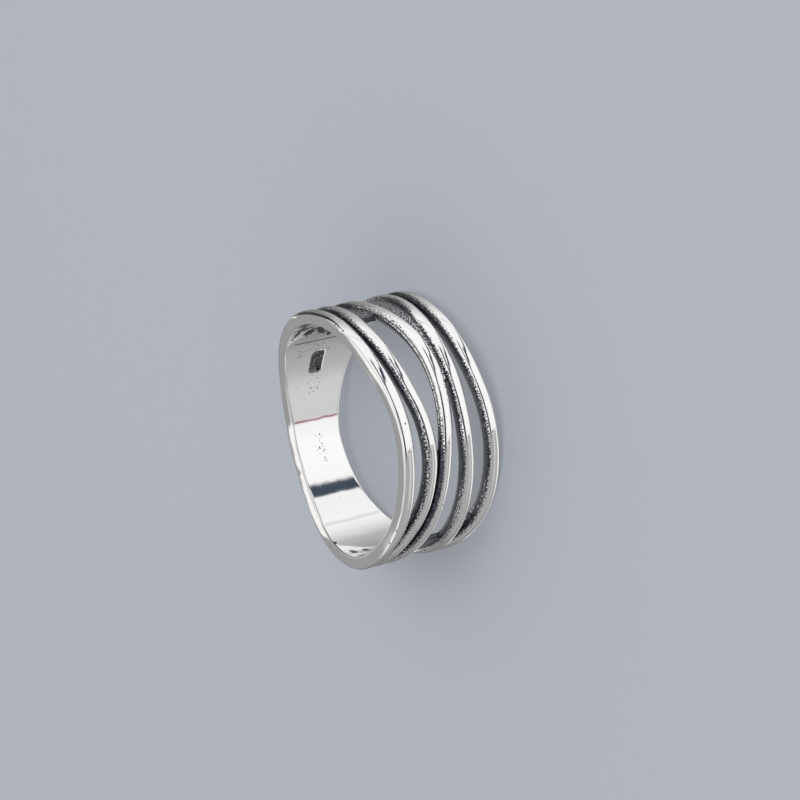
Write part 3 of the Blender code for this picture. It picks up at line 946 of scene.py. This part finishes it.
# The light tent, by direction: the azimuth turns from the front towards +X and the elevation rises from the
# horizon, both in degrees in the ring's own frame. Each row says how bright the tent is in one direction,
# and it changes evenly from row to row.
Wall = namedtuple("Wall", "azimuth grey")
TENT_WALL = (
    Wall(-180, 0.24), Wall(-150, 0.24), Wall(-128, 0.27), Wall(-105, 0.38), Wall(-80, 0.46), Wall(-62, 0.62),
    Wall(-45, 0.65), Wall(-26, 0.64), Wall(-22.5, 0.94), Wall(0, 1.03), Wall(42, 0.99), Wall(62, 0.93),
    Wall(84, 0.97), Wall(98, 0.88), Wall(108, 0.70), Wall(118, 0.49), Wall(130, 0.42), Wall(150, 0.30),
    Wall(180, 0.24),
)
TENT_SKIRT = (
    Wall(-180, 1.0), Wall(-153, 1.0), Wall(-143, 0.42), Wall(-128, 0.30), Wall(-100, 0.38), Wall(-27, 0.45),
    Wall(-21, 0.98), Wall(90, 1.0), Wall(120, 0.60), Wall(150, 0.30), Wall(180, 0.24),
)
TENT_UPPER = (
    Wall(-180, 0.17), Wall(-150, 0.20), Wall(-128, 0.27), Wall(-114, 0.38), Wall(-100, 0.38), Wall(-27, 0.40),
    Wall(-21, 0.98), Wall(92, 1.0), Wall(108, 0.66), Wall(123, 0.28), Wall(140, 0.21), Wall(180, 0.17),
)
TENT_TOP = (
    Wall(-180, 0.33), Wall(-150, 0.29), Wall(-128, 0.30), Wall(-114, 0.38), Wall(-27, 0.42), Wall(-21, 0.98),
    Wall(92, 1.0), Wall(108, 0.42), Wall(120, 0.11), Wall(142, 0.11), Wall(160, 0.26), Wall(180, 0.33),
)
TENT_CEILING = (
    Wall(-180, 0.98), Wall(-146, 0.98), Wall(-136, 0.46), Wall(-60, 0.42), Wall(-30, 0.90), Wall(-10, 1.0),
    Wall(90, 1.0), Wall(110, 0.55), Wall(140, 0.30), Wall(168, 0.60), Wall(180, 0.98),
)
Floor = namedtuple("Floor", "elevation grey")
TENT_FLOOR = (Floor(-90, 0.34), Floor(-76, 0.44), Floor(-66, 0.92), Floor(-50, 1.02))
PLAIN_LIGHT = (0.69, 0.70, 0.72, 1.0)

world = bpy.data.worlds.new("light_tent")
bpy.context.scene.world = world
world.use_nodes = True
tree = world.node_tree
direction = turn_upright(tree, tree.nodes.new("ShaderNodeTexCoord").outputs["Generated"])
azimuth, across, up = polar(tree, direction)
elevation = calculate(tree, "DEGREES", calculate(tree, "ARCTAN2", up, across))


def grey_ramp(tree, value, rows):
    """The brightness between the rows, by the first field of each."""
    node = tree.nodes.new("ShaderNodeValToRGB")
    first, last = rows[0][0], rows[-1][0]
    span = tree.nodes.new("ShaderNodeMapRange")
    tree.links.new(value, span.inputs["Value"])
    span.inputs["From Min"].default_value = first
    span.inputs["From Max"].default_value = last
    tree.links.new(span.outputs["Result"], node.inputs["Fac"])
    elements = node.color_ramp.elements
    elements.remove(elements[1])
    for index, (at, grey) in enumerate(rows):
        element = elements[0] if index == 0 else elements.new((at - first) / (last - first))
        element.color = (grey, grey, grey, 1.0)
    return node.outputs["Color"]


# Its wall with the skirt below, whose pale end runs at a slant, and the floor
SLANT_BELOW = 39.0
SLANT = 2.2
tent = grey_ramp(tree, azimuth, TENT_WALL)
slant = calculate(tree, "MINIMUM", calculate(tree, "ADD", elevation, SLANT_BELOW), 0.0)
slant = calculate(tree, "MULTIPLY", slant, SLANT)
slant = calculate(tree, "MULTIPLY", slant, ease(tree, azimuth, zero_at=-95.0, one_at=-115.0))
skirt_azimuth = calculate(tree, "MAXIMUM", calculate(tree, "ADD", azimuth, slant), -180.0)
in_skirt = ease(tree, elevation, zero_at=-32.0, one_at=-35.5)
tent = blend(tree, in_skirt, tent, grey_ramp(tree, skirt_azimuth, TENT_SKIRT))
on_floor = ease(tree, elevation, zero_at=-47.0, one_at=-53.0)
tent = blend(tree, on_floor, tent, grey_ramp(tree, elevation, TENT_FLOOR))

# Its upper parts, with a pale band round it below the ceiling and one pale flap behind
PALE_BAND = (1.0, 0.985, 0.96, 1.0)
PALE_FLAP = (0.97, 0.955, 0.93, 1.0)
in_upper = ease(tree, elevation, zero_at=-28.5, one_at=-25.0)
tent = blend(tree, in_upper, tent, grey_ramp(tree, azimuth, TENT_UPPER))
in_top = ease(tree, elevation, zero_at=2.0, one_at=12.0)
tent = blend(tree, in_top, tent, grey_ramp(tree, azimuth, TENT_TOP))
beside = calculate(tree, "MAXIMUM", ease(tree, azimuth, zero_at=-70.0, one_at=-50.0),
                   ease(tree, azimuth, zero_at=-135.0, one_at=-150.0))
pale_band = calculate(tree, "MULTIPLY", ease(tree, elevation, zero_at=34.5, one_at=38.5), beside)
tent = blend(tree, pale_band, tent, PALE_BAND)
in_ceiling = ease(tree, elevation, zero_at=42.0, one_at=47.0)
tent = blend(tree, in_ceiling, tent, grey_ramp(tree, azimuth, TENT_CEILING))
flap = calculate(tree, "MULTIPLY", band(tree, azimuth, middle=172.0, half=2.4, soft=1.2),
                 band(tree, elevation, middle=22.0, half=14.0, soft=4.0))
tent = blend(tree, flap, tent, PALE_FLAP)

# Its dark parts: the hood, the opening that the camera looks through and the sagging gap across its front
HOOD = Vector((0.29, 0.11, 0.951))
HOOD_COLOR = (0.16, 0.165, 0.18, 1.0)
OPENING = Vector((0.0, -0.854, 0.52))
OPENING_COLOR = (0.06, 0.06, 0.07, 1.0)
GAP_COLOR = (0.05, 0.05, 0.055, 1.0)
GAP_DROP = 1.0
GAP_SAG = 0.0055
GAP_NARROWING = 1.4
near_hood = calculate_vector(tree, "DOT_PRODUCT", direction, HOOD)
near_hood = ease(tree, near_hood, zero_at=cos(radians(24.0)), one_at=cos(radians(18.0)))
tent = blend(tree, near_hood, tent, HOOD_COLOR)
near_opening = calculate_vector(tree, "DOT_PRODUCT", direction, OPENING)
near_opening = ease(tree, near_opening, zero_at=cos(radians(9.0)), one_at=cos(radians(6.0)))
tent = blend(tree, near_opening, tent, OPENING_COLOR)
sag = calculate(tree, "MULTIPLY", calculate(tree, "MULTIPLY", azimuth, azimuth), GAP_SAG)
above_gap = calculate(tree, "ADD", calculate(tree, "ADD", elevation, sag), GAP_DROP)
narrowed = ease(tree, azimuth, zero_at=5.0, one_at=50.0)
narrowed = calculate(tree, "MULTIPLY_ADD", narrowed, GAP_NARROWING, 1.0)
above_gap = calculate(tree, "MULTIPLY", above_gap, narrowed)
gap = calculate(tree, "MULTIPLY", band(tree, above_gap, middle=0.0, half=9.0, soft=5.0),
                band(tree, azimuth, middle=16.0, half=38.0, soft=9.0))
tent = blend(tree, gap, tent, GAP_COLOR)

# One dark strip that stands across its side, frayed along one edge and twice as wide near the skirt
STRIP = Vector((0.752, 0.310, 0.580))
STRIP_HALF_WIDTH = 0.032
STRIP_SOFT = 0.010
STRIP_FRAY = 0.060
STRIP_COLOR = (0.05, 0.068, 0.10, 1.0)
off_strip = calculate_vector(tree, "DOT_PRODUCT", direction, STRIP)
widened = band(tree, elevation, middle=-30.0, half=2.0, soft=3.0)
off_strip = calculate(tree, "DIVIDE", off_strip, calculate(tree, "ADD", widened, 1.0))
frayed = noise(tree, elevation, scale=2.6, detail=2.0)
frayed = calculate(tree, "MULTIPLY_ADD", frayed, STRIP_FRAY, -STRIP_FRAY / 2)
frayed = calculate(tree, "ADD", off_strip, frayed)
strip = calculate(
    tree, "MULTIPLY",
    ease(tree, off_strip, zero_at=STRIP_HALF_WIDTH + STRIP_SOFT, one_at=STRIP_HALF_WIDTH),
    ease(tree, frayed, zero_at=-STRIP_HALF_WIDTH - STRIP_SOFT, one_at=-STRIP_HALF_WIDTH),
)
strip = calculate(tree, "MULTIPLY", strip, band(tree, azimuth, middle=62.0, half=36.0, soft=5.0))
strip = calculate(tree, "MULTIPLY", strip, ease(tree, elevation, zero_at=-10.0, one_at=-15.0))
tent = blend(tree, strip, tent, STRIP_COLOR)

# A soft fold in its side, and a short dark red hem
FOLD_COLOR = (0.4, 0.4, 0.4, 1.0)
FOLD_SHARE = 0.34
HEM_COLOR = (0.28, 0.07, 0.09, 1.0)
fold = calculate(tree, "MULTIPLY", band(tree, azimuth, middle=87.0, half=1.3, soft=1.3), FOLD_SHARE)
tent = blend(tree, fold, tent, FOLD_COLOR)
hem = calculate(tree, "MULTIPLY", band(tree, azimuth, middle=-24.0, half=0.6, soft=0.5),
                band(tree, elevation, middle=-30.0, half=3.0, soft=2.0))
tent = blend(tree, hem, tent, HEM_COLOR)

# Only what the metal mirrors sees the tent. The table is lit by a plain even light.
mirrored = tree.nodes.new("ShaderNodeLightPath").outputs["Is Glossy Ray"]
background = tree.nodes["Background"]
tree.links.new(blend(tree, mirrored, PLAIN_LIGHT, tent), background.inputs["Color"])

bpy.context.scene.view_settings.view_transform = "Standard"
